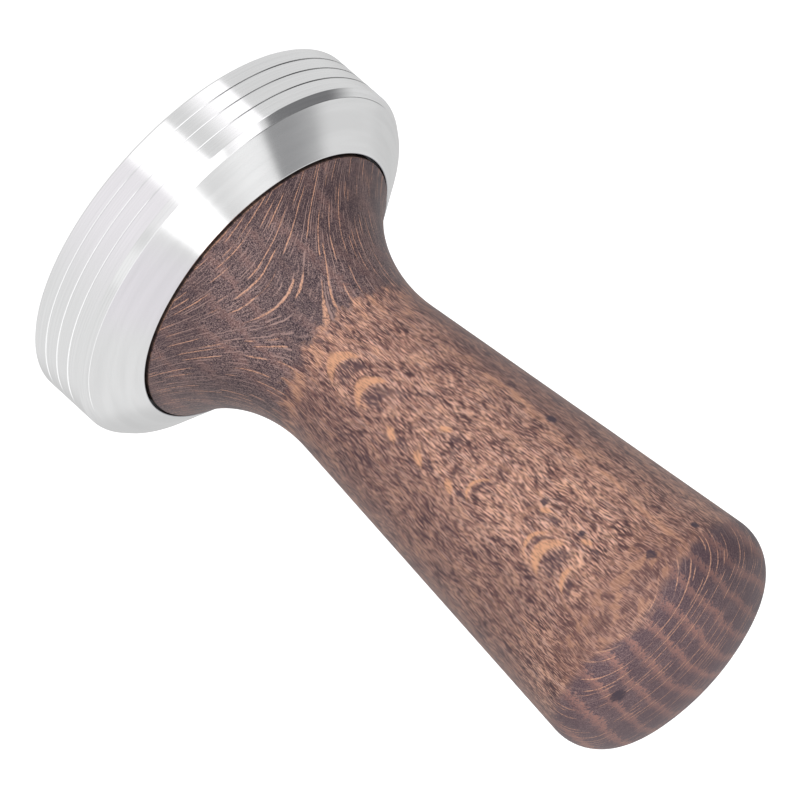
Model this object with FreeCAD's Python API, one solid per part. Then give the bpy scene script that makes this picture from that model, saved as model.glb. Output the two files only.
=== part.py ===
import FreeCAD, Part
import math
import os

# Espresso tamper in millimetres, turned about +Z.
# The origin is the centre of the flat tamping face, the lowest plane.

# Base: a short stainless piston with a conical top and a shallow seat for the handle.
base_radius = 29.0
foot_chamfer = 0.3
wall_height = 8.9           # top of the straight wall
groove_count = 3
first_groove = 2.5          # height of the lowest groove's centre
groove_pitch = 2.15
groove_width = 0.26
groove_depth = 0.16
shoulder_run = 0.8          # radial width of the bevel above the wall
shoulder_rise = 1.1
rim_radius = 21.95          # where the cone meets the handle's seat
rim_height = 14.3
seat_depth = 1.2

# Joint between base and handle: an M8 x 1.25 stud, drawn as plain cylinders.
thread_radius = 4.0
thread_clearance = 0.05
stud_length = 20.0
stud_stand_out = 11.0       # above the floor of the seat
stud_chamfer = 0.8
socket_across_flats = 4.0
socket_depth = 5.0
hole_end_room = 0.6         # free depth under the stud

# Threaded insert let into the foot of the handle.
insert_radius = 6.0
insert_length = 14.0
flange_radius = 8.0
flange_thickness = 1.5
insert_countersink = 1.0
insert_clearance = 0.04
insert_edge = 0.5
stud_room = 3.0             # drilled room above the insert

# Handle: a concave flare, a straight taper that widens upwards, a round corner and a domed end.
overall_height = 95.9
seat_side_gap = 0.32        # dark ring between rim and wood
seat_face_gap = 0.05
skirt_stand_up = 0.2        # wood edge above the metal rim
skirt_round = 0.35
flare_radius = 21.3
taper_radius = 15.2         # radius of the taper at taper_height
taper_height = 60.0
taper_slope = 0.102         # radius gained per unit of height
corner_radius = 6.2
dome_radius = 36.5

seat_floor = rim_height - seat_depth
skirt_radius = rim_radius - seat_side_gap
skirt_top = rim_height + skirt_stand_up
handle_foot = seat_floor + seat_face_gap
stud_foot = seat_floor + stud_stand_out - stud_length


def at(radius, height):
    return FreeCAD.Vector(radius, 0, height)


def line(start, end):
    return Part.makeLine(start, end)


def arc(start, end, centre, radius):
    """The shorter arc from start to end about centre."""
    middle = (start - centre) + (end - centre)
    middle.normalize()
    return Part.Arc(start, centre + middle * radius, end).toShape()


def polyline(points):
    return [line(a, b) for a, b in zip(points, points[1:])]


def turned(edges):
    """Solid of revolution about Z from a closed outline in the XZ plane."""
    face = Part.Face(Part.Wire(edges))
    return face.revolve(FreeCAD.Vector(0, 0, 0), FreeCAD.Vector(0, 0, 1), 360)


def groove_points(height):
    """A V-groove in the wall, from its lower lip to its upper one."""
    return [
        at(base_radius, height - groove_width / 2),
        at(base_radius - groove_depth, height),
        at(base_radius, height + groove_width / 2),
    ]


def tamping_base():
    hole_radius = thread_radius + thread_clearance
    hole_floor = stud_foot - hole_end_room
    points = [at(0, 0), at(base_radius - foot_chamfer, 0), at(base_radius, foot_chamfer)]
    for i in range(groove_count):
        points += groove_points(first_groove + i * groove_pitch)
    points += [
        at(base_radius, wall_height),
        at(base_radius - shoulder_run, wall_height + shoulder_rise),
        at(rim_radius, rim_height),
        at(rim_radius, seat_floor),
        at(hole_radius, seat_floor),
        at(hole_radius, hole_floor),
        at(0, hole_floor),
        at(0, 0),
    ]
    return turned(polyline(points))


def connecting_stud():
    top = stud_foot + stud_length
    inner = thread_radius - stud_chamfer
    rod = turned(polyline([
        at(0, stud_foot),
        at(inner, stud_foot),
        at(thread_radius, stud_foot + stud_chamfer),
        at(thread_radius, top - stud_chamfer),
        at(inner, top),
        at(0, top),
        at(0, stud_foot),
    ]))
    corner = socket_across_flats / math.sqrt(3)
    ring = [FreeCAD.Vector(corner, 0, top - socket_depth)]
    for i in range(1, 7):
        turn = math.radians(60 * i)
        ring.append(FreeCAD.Vector(corner * math.cos(turn), corner * math.sin(turn), top - socket_depth))
    socket = Part.Face(Part.makePolygon(ring)).extrude(FreeCAD.Vector(0, 0, socket_depth))
    return rod.cut(socket)


def handle_insert():
    bore = thread_radius + thread_clearance
    top = handle_foot + insert_length
    return turned(polyline([
        at(bore + insert_countersink, handle_foot),
        at(flange_radius, handle_foot),
        at(flange_radius, handle_foot + flange_thickness),
        at(insert_radius, handle_foot + flange_thickness),
        at(insert_radius, top - insert_edge),
        at(insert_radius - insert_edge, top),
        at(bore, top),
        at(bore, handle_foot + insert_countersink),
        at(bore + insert_countersink, handle_foot),
    ]))


def beside_taper(offset, target, distance):
    """Upper point that lies offset outside the taper line and at a distance from the target."""
    lean = math.sqrt(1 + taper_slope ** 2)
    start = taper_radius - taper_slope * taper_height + offset * lean
    b = taper_slope * (start - target.x) - target.z
    c = (start - target.x) ** 2 + target.z ** 2 - distance ** 2
    height = (-b + math.sqrt(b ** 2 - lean ** 2 * c)) / lean ** 2
    return at(start + taper_slope * height, height)


def handle_profile():
    """Edges of the outside of the handle, from the skirt's top edge to the end of the dome."""
    across = at(1, -taper_slope)
    across.normalize()
    skirt_edge = at(skirt_radius, skirt_top)
    flare_centre = beside_taper(flare_radius, skirt_edge, flare_radius)
    neck = flare_centre - across * flare_radius
    dome_centre = at(0, overall_height - dome_radius)
    corner_centre = beside_taper(-corner_radius, dome_centre, dome_radius - corner_radius)
    corner_start = corner_centre + across * corner_radius
    outward = corner_centre - dome_centre
    outward.normalize()
    corner_end = dome_centre + outward * dome_radius
    tip = at(0, overall_height)
    return [
        arc(skirt_edge, neck, flare_centre, flare_radius),
        line(neck, corner_start),
        arc(corner_start, corner_end, corner_centre, corner_radius),
        arc(corner_end, tip, dome_centre, dome_radius),
    ]


def handle():
    pocket_radius = insert_radius + insert_clearance
    flange_pocket = flange_radius + insert_clearance
    flange_top = handle_foot + flange_thickness + insert_clearance
    pocket_top = handle_foot + insert_length + insert_clearance
    drill_top = max(pocket_top, stud_foot + stud_length) + stud_room
    drill_radius = thread_radius + 2 * thread_clearance
    inside = polyline([
        at(0, overall_height),
        at(0, drill_top),
        at(drill_radius, drill_top),
        at(drill_radius, pocket_top),
        at(pocket_radius, pocket_top),
        at(pocket_radius, flange_top),
        at(flange_pocket, flange_top),
        at(flange_pocket, handle_foot),
        at(skirt_radius - skirt_round, handle_foot),
    ])
    round_centre = at(skirt_radius - skirt_round, handle_foot + skirt_round)
    round_end = at(skirt_radius, handle_foot + skirt_round)
    skirt = [
        arc(at(skirt_radius - skirt_round, handle_foot), round_end, round_centre, skirt_round),
        line(round_end, at(skirt_radius, skirt_top)),
    ]
    return turned(inside + skirt + handle_profile())


def write_part(name, shape):
    shape.exportStep(os.path.join("parts", name + ".step"))


os.makedirs("parts", exist_ok=True)
write_part("tamping_base", tamping_base())
write_part("connecting_stud", connecting_stud())
write_part("handle_insert", handle_insert())
write_part("handle", handle())
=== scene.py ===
import math
import bmesh
import bpy
from mathutils import Matrix, Vector


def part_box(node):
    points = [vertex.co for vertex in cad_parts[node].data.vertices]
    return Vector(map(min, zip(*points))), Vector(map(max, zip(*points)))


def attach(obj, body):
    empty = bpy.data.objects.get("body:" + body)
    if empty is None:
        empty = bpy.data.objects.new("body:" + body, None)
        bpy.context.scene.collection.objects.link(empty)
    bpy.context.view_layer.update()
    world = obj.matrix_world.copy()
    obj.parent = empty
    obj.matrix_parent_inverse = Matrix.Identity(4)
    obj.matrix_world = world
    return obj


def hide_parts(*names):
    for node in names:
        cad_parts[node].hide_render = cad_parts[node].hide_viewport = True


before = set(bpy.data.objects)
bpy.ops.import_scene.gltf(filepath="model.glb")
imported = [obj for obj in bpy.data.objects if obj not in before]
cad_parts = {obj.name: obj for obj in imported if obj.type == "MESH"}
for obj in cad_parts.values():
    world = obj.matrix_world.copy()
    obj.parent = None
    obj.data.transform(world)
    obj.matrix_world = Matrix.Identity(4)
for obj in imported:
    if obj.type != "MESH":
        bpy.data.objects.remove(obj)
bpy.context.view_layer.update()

mm = 0.001
nearby = 0.002      # mm, how far off a vertex may be when it is looked up by its place
mergeGap = 0.0005   # mm
print("frame loaded:", sorted(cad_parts))


# mesh helpers, all in millimetres until the piece is made

def startOutline(radius, height):
    bm = bmesh.new()
    return bm, bm.verts.new((radius, 0, height))


def straightTo(bm, last, radius, height, cuts=1):
    start = last.co.copy()
    end = Vector((radius, 0, height))
    for i in range(cuts):
        fresh = bm.verts.new(start.lerp(end, (i + 1) / cuts))
        bm.edges.new((last, fresh))
        last = fresh
    return last


def arcTo(bm, last, centre, end, steps):
    a = last.co - centre
    b = end - centre
    turn = math.atan2(a.z * b.x - a.x * b.z, a.dot(b))     # about +Y, from a towards b
    spun = bmesh.ops.spin(bm, geom=[last], cent=centre, axis=(0, 1, 0), angle=turn, steps=steps)
    return [g for g in spun["geom_last"] if isinstance(g, bmesh.types.BMVert)][0]


def spinRound(bm, steps):
    bmesh.ops.spin(bm, geom=bm.verts[:] + bm.edges[:], cent=(0, 0, 0), axis=(0, 0, 1),
                   angle=2 * math.pi, steps=steps, use_merge=True)
    bmesh.ops.remove_doubles(bm, verts=bm.verts, dist=mergeGap)
    bmesh.ops.recalc_face_normals(bm, faces=bm.faces)


def ringEdges(bm, radius, height):
    def onRing(vert):
        return abs(vert.co.z - height) < nearby and abs(vert.co.xy.length - radius) < nearby
    return [e for e in bm.edges if onRing(e.verts[0]) and onRing(e.verts[1])]


def softenRing(bm, radius, height, width, segments=3):
    bmesh.ops.bevel(bm, geom=ringEdges(bm, radius, height), offset=width, offset_type="OFFSET",
                    affect="EDGES", segments=segments, profile=0.5, material=-1)


threadForm = {
    "root": 0.1,        # flat at the bottom of the groove, as a share of half a turn
    "flank": 0.75,
}


def cutThread(bm, radius, low, high, pitch, depth):    # a right-handed helix that fades out at both ends
    for vert in bm.verts:
        if abs(vert.co.xy.length - radius) < nearby and low <= vert.co.z <= high:
            turn = math.atan2(vert.co.y, vert.co.x) / (2 * math.pi)
            fromRoot = abs((vert.co.z / pitch - turn) % 1 * 2 - 1)
            fade = min(1, (vert.co.z - low) / pitch, (high - vert.co.z) / pitch)
            rise = min(1, max(0, (fromRoot - threadForm["root"]) / threadForm["flank"]))
            inset = depth * fade * (1 - rise)
            vert.co.xy *= (radius - inset) / radius


def newPiece(name, bm, cadNode, body, material, sharpAngle):
    bmesh.ops.scale(bm, vec=(mm, mm, mm), verts=bm.verts)
    for face in bm.faces:
        face.smooth = True
    mesh = bpy.data.meshes.new(name)
    bm.to_mesh(mesh)
    bm.free()
    mesh.materials.append(material)
    piece = bpy.data.objects.new(name, mesh)
    bpy.context.scene.collection.objects.link(piece)
    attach(piece, body)
    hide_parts(cadNode)
    mesh.set_sharp_from_angle(angle=math.radians(sharpAngle))
    print(name, "made:", len(mesh.polygons), "faces")
    return piece


# node helpers

def addNode(tree, kind, inputs, **settings):
    made = tree.nodes.new(kind)
    for key, value in settings.items():
        setattr(made, key, value)
    for key, value in inputs.items():
        if isinstance(value, bpy.types.NodeSocket):
            tree.links.new(value, made.inputs[key])
        else:
            made.inputs[key].default_value = value
    return made


def maths(tree, operation, a, b=0.0):
    return addNode(tree, "ShaderNodeMath", {0: a, 1: b}, operation=operation).outputs[0]


def plus(tree, a, b):
    return maths(tree, "ADD", a, b)


def minus(tree, a, b):
    return maths(tree, "SUBTRACT", a, b)


def times(tree, a, b):
    return maths(tree, "MULTIPLY", a, b)


def over(tree, a, b):
    return maths(tree, "DIVIDE", a, b)


def larger(tree, a, b):
    return maths(tree, "MAXIMUM", a, b)


def vectors(tree, operation, a, b=(0, 0, 0)):
    return addNode(tree, "ShaderNodeVectorMath", {0: a, 1: b}, operation=operation).outputs[0]


def split(tree, vector):
    return addNode(tree, "ShaderNodeSeparateXYZ", {0: vector}).outputs


def join(tree, x, y=0.0, z=0.0):
    return addNode(tree, "ShaderNodeCombineXYZ", {0: x, 1: y, 2: z}).outputs[0]


def ramp(tree, value, low, high, start=0.0, end=1.0):    # smooth step from start to end
    made = addNode(tree, "ShaderNodeMapRange", {0: value, 1: low, 2: high, 3: start, 4: end},
                   interpolation_type="SMOOTHSTEP")
    return made.outputs[0]


def mixColour(tree, amount, a, b):
    return addNode(tree, "ShaderNodeMix", {0: amount, 6: a, 7: b}, data_type="RGBA").outputs[2]


def mixValue(tree, amount, a, b):
    return addNode(tree, "ShaderNodeMix", {0: amount, 2: a, 3: b}).outputs[0]


def grained(tree, vector, sizes, detail=2.0, roughness=0.5):    # noise with its grain size along x, y and z
    spread = addNode(tree, "ShaderNodeMapping", {0: vector, 3: [1 / s for s in sizes]})
    made = addNode(tree, "ShaderNodeTexNoise", {"Vector": spread.outputs[0], "Scale": 1.0,
                                                "Detail": detail, "Roughness": roughness})
    return made.outputs[0]


def tone(red, green, blue):    # a colour as a paint chart gives it, 0 to 255, made linear
    def linear(part):
        part /= 255
        return part / 12.92 if part <= 0.04045 else ((part + 0.055) / 1.055) ** 2.4
    return (linear(red), linear(green), linear(blue), 1.0)


def newMaterial(name):
    material = bpy.data.materials.new(name)
    material.use_nodes = True
    tree = material.node_tree
    tree.nodes.clear()
    shader = tree.nodes.new("ShaderNodeBsdfPrincipled")
    output = tree.nodes.new("ShaderNodeOutputMaterial")
    tree.links.new(shader.outputs[0], output.inputs[0])
    coords = tree.nodes.new("ShaderNodeTexCoord").outputs
    return material, tree, shader, coords


def inMillimetres(tree, coords):
    return addNode(tree, "ShaderNodeVectorMath", {0: coords["Object"], "Scale": 1 / mm},
                   operation="SCALE").outputs[0]


# turned metal, with fine tool marks that run round the z axis

turning = {
    "slant": 1.31,              # height counts this much against radius, so walls and cones all get marks
    "broadWidth": 5,            # a coarse mark, in widths and reaches of a fine one
    "broadReach": 2,
    "shares": (0.75, 0.25),     # fine and coarse marks
    "contrast": (0.3, 0.7),
    "shades": (0.965, 1.03),    # darkest and palest mark, in parts of the colour
    "smudge": ((5, 5, 5), 3.0),
    "grit": ((0.25, 0.25, 0.25), 2.0),
    "roughSpread": 0.05,
    "relief": 0.2,
    "rotation": 0.25,
}


def turnedMetal(name, look):
    material, tree, shader, coords = newMaterial(name)
    place = inMillimetres(tree, coords)
    x, y, z = split(tree, place)
    radius = maths(tree, "SQRT", plus(tree, times(tree, x, x), times(tree, y, y)))
    track = join(tree, plus(tree, radius, times(tree, z, turning["slant"])), x, y)
    width = look["lineWidth"]
    reach = look["lineReach"]
    broadWidth = width * turning["broadWidth"]
    broadReach = reach * turning["broadReach"]
    fine = grained(tree, track, (width, reach, reach), 1.0)
    broad = grained(tree, track, (broadWidth, broadReach, broadReach), 1.0)
    fineShare, broadShare = turning["shares"]
    marks = plus(tree, times(tree, fine, fineShare), times(tree, broad, broadShare))
    dark, pale = ((*(min(1, part * shade) for part in look["colour"]), 1) for shade in turning["shades"])
    colour = mixColour(tree, ramp(tree, marks, *turning["contrast"]), dark, pale)
    # painted shade: the seat's wall goes near black where the gap round the handle lies in shadow
    if "seatGapShade" in look:
        ring = look["seatGapShade"]
        seatShade = times(tree, ramp(tree, radius, *ring["inner"]), ramp(tree, z, *ring["top"]))
        seatShade = times(tree, seatShade, ramp(tree, radius, *ring["outer"]))
        seatShade = times(tree, seatShade, ramp(tree, z, *ring["foot"]))
        colour = mixColour(tree, seatShade, colour, ring["colour"])
    tree.links.new(colour, shader.inputs["Base Color"])
    spread = turning["roughSpread"]
    smudge = grained(tree, place, *turning["smudge"])
    grit = grained(tree, place, *turning["grit"])
    rough = plus(tree, times(tree, smudge, spread), times(tree, grit, spread))
    rough = plus(tree, rough, look["roughness"] - spread)
    tree.links.new(rough, shader.inputs["Roughness"])
    shader.inputs["Metallic"].default_value = 1.0
    shader.inputs["Anisotropic"].default_value = look["anisotropy"]
    shader.inputs["Anisotropic Rotation"].default_value = turning["rotation"]
    around = join(tree, times(tree, y, -1.0), x)
    around = addNode(tree, "ShaderNodeVectorTransform", {0: around}, vector_type="VECTOR",
                     convert_from="OBJECT", convert_to="WORLD").outputs[0]
    tree.links.new(vectors(tree, "NORMALIZE", around), shader.inputs["Tangent"])
    bump = addNode(tree, "ShaderNodeBump", {"Height": marks, "Strength": turning["relief"],
                                            "Distance": look["lineDepth"] * mm})
    tree.links.new(bump.outputs[0], shader.inputs["Normal"])
    return material


# base: stainless piston with three grooves, a sloping top and a seat for the handle

steelLook = {
    "colour": (0.885, 0.887, 0.89),
    "roughness": 0.13,
    "anisotropy": 0.6,
    "lineWidth": 0.09,      # mm between tool marks
    "lineReach": 14.0,      # mm along which a mark keeps its tone
    "lineDepth": 0.002,
    "seatGapShade": {           # painted shade: the seat's wall is painted near black for the shadowed gap round the handle; radii and heights, from and to
        "inner": (21.3, 21.7),
        "outer": (22.0, 22.05, 1.0, 0.0),
        "top": (13.98, 14.1, 1.0, 0.0),
        "foot": (12.9, 13.0),
        "colour": (0.02, 0.02, 0.022, 1),
    },
}
steelFinish = turnedMetal("turnedStainless", steelLook)

base = {
    "steps": 288,
    "footChamfer": 0.3,
    "wallHeight": 8.9,
    "grooves": (2.5, 4.65, 6.8),
    "grooveRise": 0.19,     # height of the sloping lower side
    "grooveLip": 0.06,      # height of the steep upper side
    "grooveDepth": 0.19,
    "shoulderRun": 0.8,
    "shoulderRise": 1.1,
    "rimRadius": 21.95,
    "seatDepth": 1.2,
    "holeRadius": 4.05,
    "holeFloor": 3.5,
    "edge": 0.07,       # small round on the turned corners
    "rimEdge": 0.32,
    "rimSteps": 6,
    "sharpAngle": 26,
    "faceRadii": (2, 6, 14, 22),    # rings of faces in the flat face, then along each other stretch
    "slopeCuts": 3,
    "seatCuts": 4,
    "holeCuts": 6,
    "holeEdge": 0.28,
    "holeFloorCuts": 2,
}


def makeBase():
    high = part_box("tamping_base")[1]
    outer = high.x / mm
    top = high.z / mm
    seat = top - base["seatDepth"]
    bm, last = startOutline(0, 0)
    for radius in (*base["faceRadii"], outer - base["footChamfer"]):
        last = straightTo(bm, last, radius, 0)
    last = straightTo(bm, last, outer, base["footChamfer"])
    for height in base["grooves"]:
        last = straightTo(bm, last, outer, height - base["grooveRise"])
        last = straightTo(bm, last, outer - base["grooveDepth"], height)
        last = straightTo(bm, last, outer, height + base["grooveLip"])
    last = straightTo(bm, last, outer, base["wallHeight"])
    shoulder = (outer - base["shoulderRun"], base["wallHeight"] + base["shoulderRise"])
    last = straightTo(bm, last, *shoulder)
    last = straightTo(bm, last, base["rimRadius"], top, base["slopeCuts"])
    last = straightTo(bm, last, base["rimRadius"], seat)
    last = straightTo(bm, last, base["holeRadius"], seat, base["seatCuts"])
    last = straightTo(bm, last, base["holeRadius"], base["holeFloor"], base["holeCuts"])
    last = straightTo(bm, last, 0, base["holeFloor"], base["holeFloorCuts"])
    spinRound(bm, base["steps"])
    softenRing(bm, outer - base["footChamfer"], 0, base["edge"])
    softenRing(bm, outer, base["footChamfer"], base["edge"])
    softenRing(bm, outer, base["wallHeight"], base["edge"])
    softenRing(bm, *shoulder, base["edge"])
    softenRing(bm, base["rimRadius"], top, base["rimEdge"], base["rimSteps"])
    softenRing(bm, base["holeRadius"], seat, base["holeEdge"])
    piece = newPiece("steelBase", bm, "tamping_base", "base", steelFinish, base["sharpAngle"])
    even = piece.modifiers.new("evenShading", "WEIGHTED_NORMAL")
    even.weight = 100
    even.keep_sharp = True


makeBase()


# stud, threaded along its length with a hex socket in its top

studSteel = {
    "colour": (0.80, 0.80, 0.79),
    "roughness": 0.24,
    "anisotropy": 0.4,
    "lineWidth": 0.1,
    "lineReach": 5.0,
    "lineDepth": 0.02,
}
studFinish = turnedMetal("studZincSteel", studSteel)

stud = {
    "steps": 72,
    "chamfer": 0.8,
    "pitch": 1.25,
    "threadDepth": 0.66,
    "ringsPerTurn": 12,
    "socketFlats": 4.0,
    "socketDepth": 5.0,
    "endCuts": 3,
    "sharpAngle": 40,
}


def makeStud():
    low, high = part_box("connecting_stud")
    outer = high.x / mm
    foot = low.z / mm
    top = high.z / mm
    nose = outer - stud["chamfer"]
    threadLow = foot + stud["chamfer"]
    threadHigh = top - stud["chamfer"]
    rings = round((threadHigh - threadLow) / stud["pitch"] * stud["ringsPerTurn"])
    bm, last = startOutline(0, foot)
    last = straightTo(bm, last, nose, foot, stud["endCuts"])
    last = straightTo(bm, last, outer, threadLow, stud["endCuts"])
    last = straightTo(bm, last, outer, threadHigh, rings)
    last = straightTo(bm, last, nose, top, stud["endCuts"])
    spinRound(bm, stud["steps"])
    cutThread(bm, outer, threadLow, threadHigh, stud["pitch"], stud["threadDepth"])
    rim = [e for e in bm.edges if e.is_boundary]
    corner = stud["socketFlats"] / math.sqrt(3)
    socket = bmesh.ops.create_circle(bm, segments=6, radius=corner, matrix=Matrix.Translation((0, 0, top)))
    hexEdges = list({e for v in socket["verts"] for e in v.link_edges})
    bmesh.ops.triangle_fill(bm, edges=rim + hexEdges, use_beauty=True, normal=(0, 0, 1))
    walls = bmesh.ops.extrude_edge_only(bm, edges=hexEdges)["geom"]
    floorVerts = [g for g in walls if isinstance(g, bmesh.types.BMVert)]
    floorEdges = [g for g in walls if isinstance(g, bmesh.types.BMEdge) and g.is_boundary]
    bmesh.ops.translate(bm, vec=(0, 0, -stud["socketDepth"]), verts=floorVerts)
    bmesh.ops.edgeloop_fill(bm, edges=floorEdges)
    bmesh.ops.recalc_face_normals(bm, faces=bm.faces)
    newPiece("screwStud", bm, "connecting_stud", "base", studFinish, stud["sharpAngle"])


makeStud()


# brass insert, tapped inside and with a coarse wood thread outside

brassLook = {
    "colour": (0.78, 0.58, 0.29),
    "roughness": 0.26,
    "anisotropy": 0.5,
    "lineWidth": 0.1,
    "lineReach": 6.0,
    "lineDepth": 0.02,
}
brassFinish = turnedMetal("turnedBrass", brassLook)

insert = {
    "steps": 96,
    "bodyRadius": 6.0,
    "flangeThickness": 1.5,
    "boreRadius": 4.05,
    "countersink": 1.0,
    "edge": 0.5,
    "boreRings": 110,
    "boreThread": -0.5,     # cut outwards from the bore
    "borePitch": 1.25,
    "woodRings": 60,
    "woodThread": 0.6,
    "woodPitch": 2.5,
    "flangeEdge": 0.15,
    "flatCuts": 2,
    "sharpAngle": 50,
}


def makeInsert():
    low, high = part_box("handle_insert")
    flange = high.x / mm
    foot = low.z / mm
    top = high.z / mm
    mouth = insert["boreRadius"] + insert["countersink"]
    flangeTop = foot + insert["flangeThickness"]
    body = insert["bodyRadius"]
    bm, last = startOutline(mouth, foot)
    last = straightTo(bm, last, flange, foot, insert["flatCuts"])
    last = straightTo(bm, last, flange, flangeTop)
    last = straightTo(bm, last, body, flangeTop, insert["flatCuts"])
    last = straightTo(bm, last, body, top - insert["edge"], insert["woodRings"])
    last = straightTo(bm, last, body - insert["edge"], top)
    last = straightTo(bm, last, insert["boreRadius"], top)
    last = straightTo(bm, last, insert["boreRadius"], foot + insert["countersink"], insert["boreRings"])
    last = straightTo(bm, last, mouth, foot, insert["flatCuts"])
    spinRound(bm, insert["steps"])
    cutThread(bm, body, flangeTop, top - insert["edge"], insert["woodPitch"], insert["woodThread"])
    cutThread(bm, insert["boreRadius"], foot + insert["countersink"], top, insert["borePitch"],
              insert["boreThread"])
    softenRing(bm, flange, foot, insert["flangeEdge"])
    softenRing(bm, flange, flangeTop, insert["flangeEdge"])
    newPiece("brassInsert", bm, "handle_insert", "lift", brassFinish, insert["sharpAngle"])


makeInsert()


# stained wood: growth rings in x, ray sheets in y, fibres along z

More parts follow.
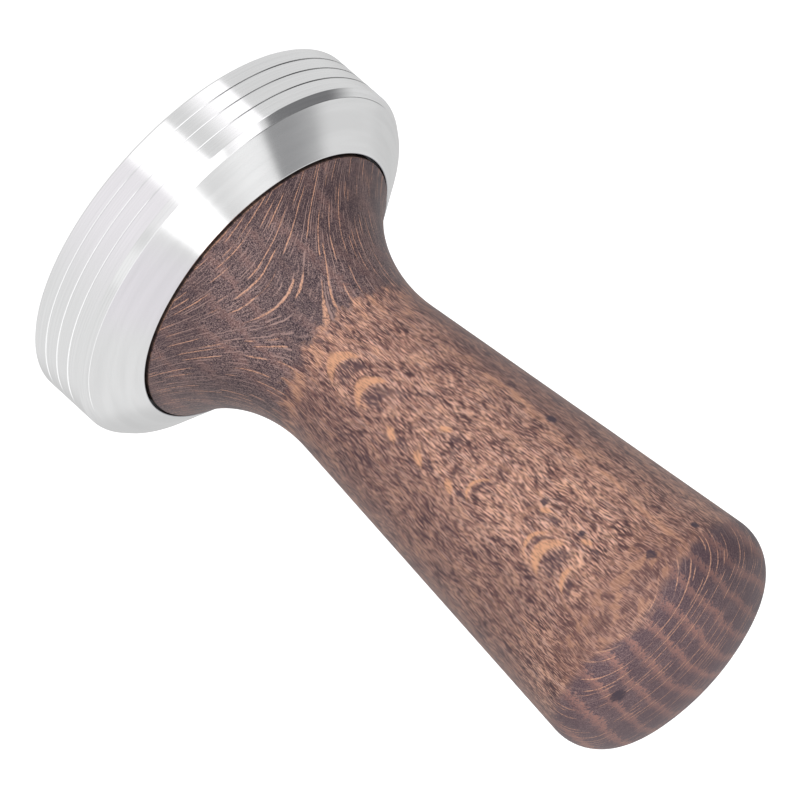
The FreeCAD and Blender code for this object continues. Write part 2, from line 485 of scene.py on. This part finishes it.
wood = {
    "roughness": 0.45,
    "roughSpread": 0.16,
    "specular": 0.28,
    "relief": 0.25,
    "reliefDepth": 0.04,
    "reliefShares": (0.7, 0.3),     # pores, rays
    # growth rings, in mm
    "pithDistance": 130.0,
    "ringTilt": 0.05,
    "ringSpacing": 3.3,
    "ringOffset": -1.82,
    "ringFray": 3.8,        # how far small and large noise push a ring about
    "ringWave": 2.0,
    "ringShade": 0.10,
    "lineStain": 0.30,
    # end grain
    "endFray": 0.30,
    "capReach": 0.045,      # it comes further down the cap away from the middle
    "capStain": 0.55,
    "cornerStain": 0.60,
    # fibres
    "fibreRadius": 15.0,    # turns the angle round the axis into mm
    "drift": (0.10, (2.0, 0.9, 0.0)),       # slow bends of the grain: scale, and reach in mm
    "shiver": (1.1, (0.5, 0.11, 0.0)),      # quick ones
    # noises: grain size along x, y and z, detail, roughness
    "dashes": ((0.10, 1.0, 1.9), 1.0, 0.5),
    "strands": ((0.42, 1.0, 5.0), 2.0, 0.5),
    "blotch": ((1.3, 1.3, 3.2), 3.0, 0.6),
    "cloud": ((6, 6, 10), 3.0, 0.5),
    "specks": ((0.17, 0.17, 0.4), 2.0, 0.7),
    "grit": ((0.15, 0.15, 0.15), 1.0, 0.5),
    "flakes": ((2.4, 0.6, 1.7), 4.0, 0.6),
    "patchy": ((2.2, 1.0, 1.8), 2.0, 0.55),
    "ragged": ((0.5, 0.3, 0.5), 3.0, 0.7),
    # short straight dashes: width, length
    "pores": (0.17, 1.40),
    "seeds": (0.25, 2.20),
    "glints": (0.20, 1.80),
    "tintShares": (0.25, 0.35, 0.40),       # dashes, strands, blotch
    # ray sheets: spacing, thickness, reach, height, and the noise level at which one starts
    "broadRays": (0.82, 0.058, 6.0, 3.6, 0.48),
    "middlingRays": (0.47, 0.042, 3.5, 2.2, 0.50),
    "fineRays": (0.29, 0.038, 2.6, 1.6, 0.47),
    "rayRoom": (0.6, 0.2),      # width and start of the part of a cell that a sheet may stand in
    "rayCellGap": 7.31,         # how far apart two cells read their noise
    # masks: from, to, then the strength at each where it isn't 0 and 1
    "masks": {
        # the edges of one ray sheet and one fleck
        "raySwell": (0.4, 0.75, 0.6, 1.5),
        "rayEdge": (0.5, 1.1, 1.0, 0.0),
        "rayStart": (0.0, 0.08),
        "fleckEdge": (0.4, 1.3, 1.0, 0.0),
        # across one growth ring
        "brownFrom": (0.54, 0.64),
        "brownTo": (0.76, 0.98, 1.0, 0.0),
        "lineFrom": (0.56, 0.60),
        "lineTo": (0.62, 0.68, 1.0, 0.0),
        # where end grain shows, by how far the surface faces up or down
        "flareEnd": (0.05, 0.14),
        "capEnd": (0.56, 0.84),
        "footEnd": (-0.5, -0.3, 1.0, 0.0),
        # long grain, mostly by its noises; the ones named Up go by height
        "upper": (55.0, 65.0),
        "tintUp": (36.0, 68.0, -0.006, 0.018),
        "midTint": (0.41, 0.49),
        "lightTint": (0.49, 0.58),
        "greyStrands": (0.50, 0.70, 0.0, 0.45),
        "darkBlotch": (0.38, 0.49, 0.50, 0.0),
        "tanBlotch": (0.53, 0.66, 0.0, 0.50),
        "darkCloud": (0.35, 0.7, 0.22, 0.0),
        "glintEdge": (0.20, 0.34, 0.85, 0.0),
        "seedEdge": (0.18, 0.30, 0.65, 0.0),
        "poreEdge": (0.20, 0.33, 0.95, 0.0),
        # partly the stain and partly painted shade on both sides, and the seam, by x
        "leftStrip": (-11.4, -10.9, 0.28, 0.0),
        "leftFlankShade": (-10.0, -5.0, 0.20, 0.0),
        "leftUp": (58.0, 72.0, 1.0, 0.5),
        "rightFlankShade": (1.5, 8.0, 0.0, 0.36),
        "rightUp": (76.0, 86.0, 1.0, 0.4),
        "seamFrom": (-11.1, -10.8),
        "seamTo": (-10.6, -9.9, 0.4, 0.0),
        "seamBlotch": (0.38, 0.60),
        "seamUp": (42.0, 52.0),
        # below the corner, and the verge of the flare's end grain
        "cornerUp": (80.5, 86.5),
        "cornerFront": (0.6, 0.95),
        "cornerPale": (0.50, 0.64, 0.0, 0.34),
        "cornerDull": (0.36, 0.48, 0.45, 0.0),
        "vergeRise": (-0.08, 0.03),
        "vergeBlotch": (0.45, 0.60, 0.0, 0.5),
        "vergeUp": (30.0, 42.0, 1.0, 0.0),
        "vergeDashes": (0.40, 0.54, 0.1, 1.0),
        # end grain on the flare and the cap
        "endSpecks": (0.43, 0.55),
        "endGrit": (0.55, 0.62, 0.0, 0.90),
        "endCloud": (0.40, 0.62, 0.35, 0.0),
        "capRagged": (0.36, 0.56, 0.40, 1.0),
        "capSpecks": (0.38, 0.56, 0.65, 1.0),
        "capCloud": (0.38, 0.56, 0.70, 1.0),
        "flareCloud": (0.40, 0.60, 0.05, 0.26),
        # painted shade: the end grain darkens towards both sides
        "leftEndShade": (-11.0, -4.0, 0.34, 0.0),
        "rightEndShade": (4.0, 12.0, 0.0, 0.15),
        # how much the rays, flecks and knots show
        "fineShow": (0.0, 1.0, 0.10, 0.50),
        "fineGrit": (0.38, 0.55, 0.2, 1.0),
        "fineUp": (55.0, 65.0, 1.0, 0.25),
        "middlingShow": (0.0, 1.0, 0.15, 0.65),
        "middlingUp": (55.0, 65.0, 1.0, 0.40),
        "broadShow": (0.0, 1.0, 0.35, 0.90),
        "broadSpecks": (0.40, 0.56, 0.30, 1.0),
        "shadowGlints": (0.15, 0.40, 0.30, 0.75),
        "fleckPores": (0.15, 0.36, 0.35, 0.90),
        "spotDashes": (0.35, 0.6, 0.98, 0.80),
        # painted shade on the skirt's foot, down in the shadowed gap inside the seat
        "skirt": (14.25, 14.6, 0.92, 0.0),
    },
    # stains
    "endDark": tone(50, 38, 46),
    "endMid": tone(112, 91, 93),
    "endSpeck": tone(160, 134, 128),
    "ringBrown": tone(160, 116, 106),
    "capDark": tone(101, 79, 87),
    "ringLine": tone(150, 120, 112),
    "longDark": tone(76, 50, 53),
    "longMid": tone(166, 121, 107),
    "longLight": tone(234, 184, 160),
    "longGrey": tone(184, 158, 156),
    "pore": tone(60, 41, 46),
    "tan": tone(212, 158, 124),
    "shade": tone(80, 60, 66),
    "corner": tone(122, 88, 82),
    "spot": tone(62, 50, 62),
    "ray": tone(214, 162, 134),
    "rayFine": tone(172, 142, 134),
    # painted shade for the skirt's foot in the shadowed gap
    "skirtGapShade": (0.012, 0.010, 0.010, 1),
    "rayLean": 0.12,        # the flecks' sheets stand a little off the y axis
    "fleckWave": (0.06, 0.08, 0.07),        # from flakes, from dashes, and what is taken off again
    "fleckFray": 1.6,
    "fleckShadow": {"behind": 2.4, "above": 1.8, "reach": 0.8, "thickness": 1.5},
    # ray flecks cut on the front of the grip: x, distance of the sheet from the axis, z, then half sizes
    "flecks": (
        (1.0, -12.63, 34.9, 3.0, 0.105, 2.3),
        (1.0, -13.19, 40.4, 3.0, 0.105, 2.4),
        (3.6, -13.86, 47.5, 0.8, 0.120, 1.9),
        (-1.6, -14.22, 53.1, 1.3, 0.120, 1.0),
        (3.6, -14.42, 52.6, 0.9, 0.120, 1.5),
        (3.6, -15.05, 58.8, 0.8, 0.110, 1.4),
        (1.3, -15.42, 61.9, 2.4, 0.035, 1.8),
        (-2.3, -15.93, 71.5, 1.2, 0.120, 0.8),
        (1.4, -16.57, 72.9, 2.4, 0.040, 1.8),
        (1.8, -16.79, 75.3, 3.1, 0.110, 2.6),
        (-2.7, -16.57, 78.8, 1.2, 0.120, 0.9),
        (2.7, -17.31, 80.0, 2.0, 0.050, 1.7),
    ),
    # small dark knots: x, y, z, radius
    "spots": (
        (-7.0, -16.4, 86.2, 0.80),
        (-13.5, -11.7, 86.2, 0.60),
        (-11.6, -10.0, 61.3, 0.80),
        (9.2, -10.1, 93.2, 1.20),
        (-3.2, -16.7, 77.5, 0.55),
        (-3.1, -16.0, 70.5, 0.60),
    ),
}


def fleckGroup():    # 1 inside a soft-edged ellipsoid
    group = bpy.data.node_groups.new("rayFleck", "ShaderNodeTree")
    for name in ("across", "through", "along", "reach", "thickness", "height"):
        group.interface.new_socket(name, in_out="INPUT", socket_type="NodeSocketFloat")
    group.interface.new_socket("mask", in_out="OUTPUT", socket_type="NodeSocketFloat")
    source = group.nodes.new("NodeGroupInput").outputs
    squares = []
    for i in range(3):
        part = over(group, source[i], source[i + 3])
        squares.append(times(group, part, part))
    total = plus(group, plus(group, squares[0], squares[1]), squares[2])
    target = group.nodes.new("NodeGroupOutput")
    group.links.new(ramp(group, total, *wood["masks"]["fleckEdge"]), target.inputs[0])
    return group


def rayComb(tree, bent, spacing, thickness, reach, tall, threshold):    # one thin sheet in each cell of y
    masks = wood["masks"]
    room, start = wood["rayRoom"]
    x, y, z = split(tree, bent)
    row = over(tree, y, spacing)
    cell = maths(tree, "FLOOR", row)
    chance = addNode(tree, "ShaderNodeTexWhiteNoise", {"W": cell}, noise_dimensions="1D").outputs[0]
    middle = plus(tree, times(tree, chance, room), start)
    away = maths(tree, "ABSOLUTE", minus(tree, maths(tree, "FRACT", row), middle))
    away = times(tree, away, spacing)
    where = join(tree, x, times(tree, cell, wood["rayCellGap"]), z)
    level = grained(tree, where, (reach, 1.0, tall), 1.0)
    width = times(tree, ramp(tree, level, *masks["raySwell"]), thickness)
    line = ramp(tree, over(tree, away, width), *masks["rayEdge"])
    return times(tree, line, ramp(tree, minus(tree, level, threshold), *masks["rayStart"]))


def darts(tree, around, along, width, length):    # distance to the nearest of many short straight dashes
    where = join(tree, over(tree, around, width), over(tree, along, length))
    return addNode(tree, "ShaderNodeTexVoronoi", {"Vector": where, "Scale": 1.0, "Randomness": 1.0},
                   voronoi_dimensions="2D").outputs[0]


def woodFinish():
    material, tree, shader, coords = newMaterial("stainedBeech")
    place = inMillimetres(tree, coords)

    def wander(scale, reach):
        noise = addNode(tree, "ShaderNodeTexNoise", {"Vector": place, "Scale": scale, "Detail": 1.0})
        centred = vectors(tree, "SUBTRACT", noise.outputs["Color"], (0.5, 0.5, 0.5))
        return vectors(tree, "MULTIPLY", centred, reach)

    def mask(value, name):
        return ramp(tree, value, *wood["masks"][name])

    def stain(under, name, amount):
        return mixColour(tree, amount, under, wood[name])

    drift = wander(*wood["drift"])
    shiver = wander(*wood["shiver"])
    bent = vectors(tree, "ADD", vectors(tree, "ADD", place, drift), shiver)
    x, y = split(tree, bent)[:2]
    px, py, pz = split(tree, place)
    normal = split(tree, coords["Normal"])

    # fibres, dashes along them, and specks for the end grain
    angle = maths(tree, "ARCTAN2", px, times(tree, py, -1.0))
    around = plus(tree, times(tree, angle, wood["fibreRadius"]), split(tree, drift)[0])
    fibre = join(tree, around, 0.0, pz)
    dashes = grained(tree, fibre, *wood["dashes"])
    strands = grained(tree, fibre, *wood["strands"])
    pores = darts(tree, around, pz, *wood["pores"])
    seeds = darts(tree, around, pz, *wood["seeds"])
    glints = darts(tree, around, pz, *wood["glints"])
    blotch = grained(tree, bent, *wood["blotch"])
    flakes = grained(tree, bent, *wood["flakes"])
    patchy = grained(tree, bent, *wood["patchy"])
    cloud = grained(tree, place, *wood["cloud"])
    specks = grained(tree, place, *wood["specks"])
    grit = grained(tree, place, *wood["grit"])
    ragged = grained(tree, place, *wood["ragged"])

    # growth rings about a far pith, each with one sharp side
    fromPith = plus(tree, x, wood["pithDistance"])
    ring = maths(tree, "SQRT", plus(tree, times(tree, fromPith, fromPith), times(tree, y, y)))
    ring = plus(tree, ring, times(tree, y, wood["ringTilt"]))
    ring = plus(tree, ring, times(tree, ragged, wood["ringFray"]))
    ring = plus(tree, ring, times(tree, cloud, wood["ringWave"]))
    ring = over(tree, plus(tree, ring, wood["ringOffset"]), wood["ringSpacing"])
    ring = maths(tree, "FRACT", ring)
    brownBand = times(tree, mask(ring, "brownFrom"), mask(ring, "brownTo"))
    ringLine = times(tree, mask(ring, "lineFrom"), mask(ring, "lineTo"))

    # end grain soaks up more stain: on the flare, on the cap beyond the corner, and under the foot
    rise = plus(tree, normal[2], times(tree, minus(tree, flakes, 0.5), wood["endFray"]))
    reachOut = times(tree, maths(tree, "ABSOLUTE", px), wood["capReach"])
    flareEnd = mask(rise, "flareEnd")
    capEnd = mask(plus(tree, rise, reachOut), "capEnd")
    upper = mask(pz, "upper")
    endGrain = mixValue(tree, upper, flareEnd, capEnd)
    endGrain = larger(tree, endGrain, mask(normal[2], "footEnd"))

    # long grain colour
    dashShare, strandShare, blotchShare = wood["tintShares"]
    tint = plus(tree, times(tree, dashes, dashShare), times(tree, strands, strandShare))
    tint = plus(tree, tint, times(tree, blotch, blotchShare))
    tint = plus(tree, tint, mask(pz, "tintUp"))
    longGrain = stain(wood["longDark"], "longMid", mask(tint, "midTint"))
    longGrain = stain(longGrain, "longLight", mask(tint, "lightTint"))
    longGrain = stain(longGrain, "longGrey", mask(strands, "greyStrands"))
    longGrain = stain(longGrain, "longDark", mask(blotch, "darkBlotch"))
    longGrain = stain(longGrain, "tan", mask(blotch, "tanBlotch"))
    longGrain = stain(longGrain, "longDark", mask(cloud, "darkCloud"))
    longGrain = stain(longGrain, "longLight", mask(glints, "glintEdge"))
    longGrain = stain(longGrain, "longDark", mask(seeds, "seedEdge"))
    longGrain = stain(longGrain, "pore", mask(pores, "poreEdge"))

    # both sides are darker, partly from the stain and partly painted shade where they turn from the light,
    # and one sharp pale seam runs up beside the left one
    leftFlankShade = times(tree, plus(tree, mask(x, "leftStrip"), mask(x, "leftFlankShade")), mask(pz, "leftUp"))
    rightFlankShade = times(tree, mask(x, "rightFlankShade"), mask(pz, "rightUp"))
    shade = plus(tree, times(tree, brownBand, -wood["ringShade"]), plus(tree, leftFlankShade, rightFlankShade))
    longGrain = stain(longGrain, "shade", plus(tree, shade, wood["ringShade"]))
    seam = times(tree, mask(x, "seamFrom"), mask(x, "seamTo"))
    seam = times(tree, seam, mask(blotch, "seamBlotch"))
    longGrain = stain(longGrain, "tan", times(tree, seam, mask(pz, "seamUp")))

    # patches below the corner, and a pale verge along the flare's end grain
    facing = maths(tree, "ABSOLUTE", normal[1])
    nearCorner = times(tree, mask(pz, "cornerUp"), mask(facing, "cornerFront"))
    longGrain = stain(longGrain, "corner", times(tree, nearCorner, wood["cornerStain"]))
    longGrain = stain(longGrain, "tan", times(tree, nearCorner, mask(patchy, "cornerPale")))
    longGrain = stain(longGrain, "longDark", times(tree, nearCorner, mask(patchy, "cornerDull")))
    verge = times(tree, mask(rise, "vergeRise"), mask(blotch, "vergeBlotch"))
    verge = times(tree, verge, mask(pz, "vergeUp"))
    longGrain = stain(longGrain, "tan", times(tree, verge, mask(dashes, "vergeDashes")))

    # end grain colour
    endColour = stain(wood["endDark"], "endMid", mask(specks, "endSpecks"))
    endColour = stain(endColour, "endSpeck", mask(grit, "endGrit"))
    endColour = stain(endColour, "endDark", mask(cloud, "endCloud"))
    endColour = stain(endColour, "capDark", times(tree, upper, wood["capStain"]))
    onCap = times(tree, brownBand, mask(ragged, "capRagged"))
    onCap = times(tree, onCap, mask(specks, "capSpecks"))
    onCap = times(tree, times(tree, onCap, mask(cloud, "capCloud")), upper)
    onFlare = times(tree, brownBand, mask(cloud, "flareCloud"))
    endColour = stain(endColour, "ringBrown", larger(tree, onCap, onFlare))
    endColour = stain(endColour, "ringLine", times(tree, ringLine, wood["lineStain"]))
    # painted shade: the end grain darkens towards both sides, where it turns from the light
    rightEndShade = times(tree, mask(px, "rightEndShade"), minus(tree, 1.0, upper))
    endColour = stain(endColour, "endDark", larger(tree, mask(px, "leftEndShade"), rightEndShade))
    colour = mixColour(tree, endGrain, longGrain, endColour)

    # rays over both: broad sheets far apart, fine ones between
    broad = rayComb(tree, bent, *wood["broadRays"])
    middling = rayComb(tree, bent, *wood["middlingRays"])
    fine = rayComb(tree, bent, *wood["fineRays"])
    fine = times(tree, fine, mask(endGrain, "fineShow"))
    fine = times(tree, fine, mask(grit, "fineGrit"))
    colour = stain(colour, "rayFine", times(tree, fine, mask(pz, "fineUp")))
    middling = times(tree, middling, mask(endGrain, "middlingShow"))
    colour = stain(colour, "rayFine", times(tree, middling, mask(pz, "middlingUp")))
    strong = times(tree, broad, mask(endGrain, "broadShow"))
    colour = stain(colour, "ray", times(tree, strong, mask(specks, "broadSpecks")))

    # ray flecks, each with a darker patch above it, then the knots
    group = fleckGroup()
    flakeWave, dashWave, setBack = wood["fleckWave"]
    wave = plus(tree, times(tree, flakes, flakeWave), times(tree, dashes, dashWave))
    wave = minus(tree, wave, times(tree, px, wood["rayLean"]))
    deep = plus(tree, py, minus(tree, wave, setBack))
    fray = wood["fleckFray"]
    sideways = plus(tree, px, minus(tree, times(tree, ragged, fray), fray / 2))
    upward = plus(tree, pz, minus(tree, specks, 0.5))

    def patch(centre, sizes, through):
        offsets = [minus(tree, at, middle) for at, middle in zip((sideways, through, upward), centre)]
        inputs = dict(enumerate((*offsets, *sizes)))
        return addNode(tree, "ShaderNodeGroup", inputs, node_tree=group).outputs[0]

    shadow = wood["fleckShadow"]
    for fx, fy, fz, reach, thickness, tall in wood["flecks"]:
        centre = (fx, fy - thickness * shadow["behind"], fz + shadow["above"])
        behind = patch(centre, (reach * shadow["reach"], thickness * shadow["thickness"], tall), deep)
        colour = stain(colour, "shade", times(tree, behind, mask(glints, "shadowGlints")))
        bright = patch((fx, fy, fz), (reach, thickness, tall), deep)
        colour = stain(colour, "tan", times(tree, bright, mask(pores, "fleckPores")))
    for *centre, size in wood["spots"]:
        knot = patch(centre, (size, size, size), py)
        colour = stain(colour, "spot", times(tree, knot, mask(dashes, "spotDashes")))
    # painted shade: the skirt's foot inside the seat goes near black, where the gap lies in shadow
    colour = stain(colour, "skirtGapShade", mask(pz, "skirt"))
    tree.links.new(colour, shader.inputs["Base Color"])

    surface = mixValue(tree, endGrain, pores, specks)
    spread = wood["roughSpread"]
    rough = plus(tree, times(tree, surface, spread), wood["roughness"] - spread / 2)
    tree.links.new(rough, shader.inputs["Roughness"])
    shader.inputs["Specular IOR Level"].default_value = wood["specular"]
    poreShare, rayShare = wood["reliefShares"]
    height = plus(tree, times(tree, surface, poreShare), times(tree, broad, rayShare))
    bump = addNode(tree, "ShaderNodeBump", {"Height": height, "Strength": wood["relief"],
                                            "Distance": wood["reliefDepth"] * mm})
    tree.links.new(bump.outputs[0], shader.inputs["Normal"])
    return material


handle = {
    "steps": 240,
    "skirtRadius": 21.63,
    "skirtTop": 14.5,
    "skirtRound": 0.35,
    "flareRadius": 21.3,
    "taperRadius": 15.2,
    "taperHeight": 60.0,
    "taperSlope": 0.102,
    "cornerRadius": 6.2,
    "domeRadius": 36.5,
    "drillRadius": 4.1,
    "drillRoom": 3.0,       # above the stud
    "fit": 0.04,            # gap round the insert
    "insertRadius": 6.0,
    "flangeRadius": 8.0,
    "flangeThickness": 1.5,
    "domeSteps": 14,
    "cornerSteps": 14,
    "taperCuts": 30,
    "flareSteps": 30,
    "skirtCuts": 2,
    "skirtRoundSteps": 5,
    "footCuts": 6,
    "boreCuts": 2,
    "pocketCuts": 4,
    "sharpAngle": 50,
}


def besideTaper(offset, target, distance):    # offset from the taper line, at a distance from the target
    slope = handle["taperSlope"]
    lean = math.sqrt(1 + slope ** 2)
    start = handle["taperRadius"] - slope * handle["taperHeight"] + offset * lean
    b = slope * (start - target.x) - target.z
    c = (start - target.x) ** 2 + target.z ** 2 - distance ** 2
    height = (-b + math.sqrt(b ** 2 - lean ** 2 * c)) / lean ** 2
    return Vector((start + slope * height, 0, height))


def makeHandle():
    low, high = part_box("handle")
    foot = low.z / mm
    tip = Vector((0, 0, high.z / mm))
    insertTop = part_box("handle_insert")[1].z / mm + handle["fit"]
    drillTop = max(insertTop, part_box("connecting_stud")[1].z / mm) + handle["drillRoom"]
    skirt = handle["skirtRadius"]
    edge = handle["skirtRound"]
    skirtEdge = Vector((skirt, 0, handle["skirtTop"]))
    across = Vector((1, 0, -handle["taperSlope"])).normalized()
    flareCentre = besideTaper(handle["flareRadius"], skirtEdge, handle["flareRadius"])
    neck = flareCentre - across * handle["flareRadius"]
    domeCentre = tip - Vector((0, 0, handle["domeRadius"]))
    cornerReach = handle["domeRadius"] - handle["cornerRadius"]
    cornerCentre = besideTaper(-handle["cornerRadius"], domeCentre, cornerReach)
    cornerStart = cornerCentre + across * handle["cornerRadius"]
    cornerEnd = domeCentre + (cornerCentre - domeCentre).normalized() * handle["domeRadius"]
    bm, last = startOutline(0, tip.z)
    last = arcTo(bm, last, domeCentre, cornerEnd, handle["domeSteps"])
    last = arcTo(bm, last, cornerCentre, cornerStart, handle["cornerSteps"])
    last = straightTo(bm, last, neck.x, neck.z, handle["taperCuts"])
    last = arcTo(bm, last, flareCentre, skirtEdge, handle["flareSteps"])
    last = straightTo(bm, last, skirt, foot + edge, handle["skirtCuts"])
    edgeCentre = Vector((skirt - edge, 0, foot + edge))
    edgeEnd = Vector((skirt - edge, 0, foot))
    last = arcTo(bm, last, edgeCentre, edgeEnd, handle["skirtRoundSteps"])
    flange = handle["flangeRadius"] + handle["fit"]
    flangeTop = foot + handle["flangeThickness"] + handle["fit"]
    pocket = handle["insertRadius"] + handle["fit"]
    last = straightTo(bm, last, flange, foot, handle["footCuts"])
    last = straightTo(bm, last, flange, flangeTop)
    last = straightTo(bm, last, pocket, flangeTop)
    last = straightTo(bm, last, pocket, insertTop, handle["pocketCuts"])
    last = straightTo(bm, last, handle["drillRadius"], insertTop)
    last = straightTo(bm, last, handle["drillRadius"], drillTop, handle["boreCuts"])
    last = straightTo(bm, last, 0, drillTop, handle["boreCuts"])
    spinRound(bm, handle["steps"])
    newPiece("woodHandle", bm, "handle", "handle", woodFinish(), handle["sharpAngle"])


makeHandle()


# camera

view = {
    "place": (-0.00044, -0.72816, 0.34723),
    "lookDown": 22.91,
    "roll": 131.72,
    "lens": 270.0,
    "sensor": 36.0,
    "clip": (0.01, 20.0),
}
camera = bpy.data.objects.new("viewCamera", bpy.data.cameras.new("viewCamera"))
bpy.context.scene.collection.objects.link(camera)
tilt = Matrix.Rotation(math.radians(90 - view["lookDown"]), 4, "X")
spinView = Matrix.Rotation(math.radians(view["roll"]), 4, "Z")
camera.matrix_world = Matrix.Translation(view["place"]) @ tilt @ spinView
camera.data.lens = view["lens"]
camera.data.sensor_width = view["sensor"]
camera.data.clip_start, camera.data.clip_end = view["clip"]
bpy.context.scene.camera = camera


# floor and studio

floorLook = {
    "size": 6.0,
    "drop": 0.0002,
    "colour": (0.55, 0.55, 0.55, 1),
    "roughness": 0.9,
    "glow": 0.80,
    "glowColour": (1, 1, 1, 1),
}


def makeFloor():
    bm = bmesh.new()
    bmesh.ops.create_grid(bm, x_segments=1, y_segments=1, size=floorLook["size"] / 2,
                          matrix=Matrix.Translation((0, 0, -floorLook["drop"])))
    mesh = bpy.data.meshes.new("paleFloor")
    bm.to_mesh(mesh)
    bm.free()
    material = bpy.data.materials.new("palePaper")
    material.use_nodes = True
    tree = material.node_tree
    shader = tree.nodes["Principled BSDF"]
    shader.inputs["Base Color"].default_value = floorLook["colour"]
    shader.inputs["Roughness"].default_value = floorLook["roughness"]
    shader.inputs["Emission Color"].default_value = floorLook["glowColour"]
    shader.inputs["Emission Strength"].default_value = floorLook["glow"]
    mesh.materials.append(material)
    floor = bpy.data.objects.new("paleFloor", mesh)
    floor.visible_glossy = False    # the metal mirrors the studio, not the paper
    floor.visible_diffuse = False   # and the wood takes the studio's soft light from below too
    bpy.context.scene.collection.objects.link(floor)


makeFloor()

studio = {
    "level": 0.77,
    "sideSwing": 0.045,     # brighter towards +X
    "fill": 0.28,           # soft light that only matt surfaces take: all round, from the front, from behind
    "key": 1.72,
    "keyFrom": (0.0, -0.93, 0.37),
    "keyFocus": 1.5,
    "back": 0.60,
    "backFrom": (0.0, 0.93, 0.37),
    "backFocus": 3.0,
    # cards that the metal mirrors: azimuths, elevations, softness of those four edges, colour
    "cards": (
        (60, 120, -50, 12, (20, 20, 5, 5), (0.62, 0.62, 0.62)),
        (-95, -36, -50, 24, (3, 34, 6, 3), (0.905, 0.88, 0.91)),
        (-94, -68, 43, 58, (1, 5, 2, 3), (0.94, 0.93, 0.94)),
        (-54, -28, 38, 54, (6, 3, 2, 3), (0.95, 0.95, 0.95)),
        (-12, 48, 52, 81, (5, 10, 8, 1.5), (0.80, 0.775, 0.81)),
        (161, 183, 60, 80, (3, 3, 2, 3), (0.96, 0.96, 0.96)),
        (-158, -138.5, -45, 58, (1.5, 12, 4, 3), (1.30, 1.28, 1.30)),
        (-160, -100, 55, 68, (3, 3, 3, 3), (1.3, 1.3, 1.3)),
        (-133, -119, 36, 58, (2, 2, 3, 3), (1.3, 1.3, 1.3)),
        (-119.5, -92, -45, 89, (2, 4, 4, 3), (1.36, 1.35, 1.36)),
        (-180, 180, 83, 98, (0, 0, 2, 2), (2.2, 2.2, 2.2)),
        (76, 104, 8, 46, (4, 4, 6, 10), (0.42, 0.42, 0.44)),
        (143, 197.5, 40, 60, (14, 1.5, 4, 1.5), (0.32, 0.32, 0.325)),
        (149, 197.5, 4, 38, (10, 1.5, 6, 3), (0.19, 0.19, 0.195)),
    ),
    # two more, curved, that only the sloping side of the grooves mirrors: side, azimuth span, colour
    "hoops": ((1, -78, 52, (1.35, 1.35, 1.35, 1.0)), (-1, -14, 62, (0.02, 0.02, 0.02, 1.0))),
    "hoopRise": (48.5, -0.5, -0.0035),      # elevation along the curve
    "hoopHalf": 5.0,
    "hoopSoft": 2.0,
    "hoopEndSoft": 4.0,
    "leastBlend": 0.001,    # degrees, for an edge with no softness
}


def edgeMask(tree, value, half, softLow, softHigh):    # 1 inside -half to half
    least = studio["leastBlend"]
    rise = ramp(tree, value, -half - softLow, -half + softLow + least)
    fall = ramp(tree, value, half - softHigh, half + softHigh + least, 1.0, 0.0)
    return times(tree, rise, fall)


def wrapped(tree, angle):    # back into -180 to 180 degrees
    return addNode(tree, "ShaderNodeMath", {0: angle, 1: 180.0, 2: -180.0}, operation="WRAP").outputs[0]


def makeStudio():
    world = bpy.data.worlds.new("softStudio")
    bpy.context.scene.world = world
    world.use_nodes = True
    tree = world.node_tree
    tree.nodes.clear()
    coords = tree.nodes.new("ShaderNodeTexCoord")
    direction = coords.outputs["Generated"]
    x, y, z = split(tree, direction)
    azimuth = maths(tree, "DEGREES", maths(tree, "ARCTAN2", y, x))
    elevation = maths(tree, "DEGREES", maths(tree, "ARCSINE", z))
    level = plus(tree, times(tree, x, studio["sideSwing"]), studio["level"])
    colour = addNode(tree, "ShaderNodeCombineColor", {0: level, 1: level, 2: level}).outputs[0]
    for left, right, low, high, soft, paint in studio["cards"]:
        aside = wrapped(tree, minus(tree, azimuth, (left + right) / 2))
        above = minus(tree, elevation, (low + high) / 2)
        inside = times(tree, edgeMask(tree, aside, (right - left) / 2, *soft[:2]),
                       edgeMask(tree, above, (high - low) / 2, *soft[2:]))
        colour = mixColour(tree, inside, colour, (*paint, 1.0))
    middle, lean, bow = studio["hoopRise"]
    soft = studio["hoopSoft"]
    endSoft = studio["hoopEndSoft"]
    for side, left, right, paint in studio["hoops"]:
        turned = wrapped(tree, azimuth if side > 0 else minus(tree, 180.0, azimuth))
        swing = times(tree, plus(tree, times(tree, turned, bow), lean), turned)
        above = minus(tree, elevation, plus(tree, swing, middle))
        aside = minus(tree, turned, (left + right) / 2)
        inside = times(tree, edgeMask(tree, above, studio["hoopHalf"], soft, soft),
                       edgeMask(tree, aside, (right - left) / 2, endSoft, endSoft))
        colour = mixColour(tree, inside, colour, paint)
    soft = studio["fill"]
    for lamp in ("key", "back"):
        facing = addNode(tree, "ShaderNodeVectorMath", {0: direction, 1: studio[lamp + "From"]},
                         operation="DOT_PRODUCT").outputs["Value"]
        facing = maths(tree, "POWER", larger(tree, facing, 0.0), studio[lamp + "Focus"])
        soft = plus(tree, times(tree, facing, studio[lamp]), soft)
    soft = addNode(tree, "ShaderNodeCombineColor", {0: soft, 1: soft, 2: soft}).outputs[0]
    matt = tree.nodes.new("ShaderNodeLightPath").outputs["Is Diffuse Ray"]
    background = addNode(tree, "ShaderNodeBackground", {0: mixColour(tree, matt, colour, soft), 1: 1.0})
    output = tree.nodes.new("ShaderNodeOutputWorld")
    tree.links.new(background.outputs[0], output.inputs[0])


makeStudio()
bpy.context.scene.view_settings.view_transform = "Standard"
print("camera, floor and studio made")
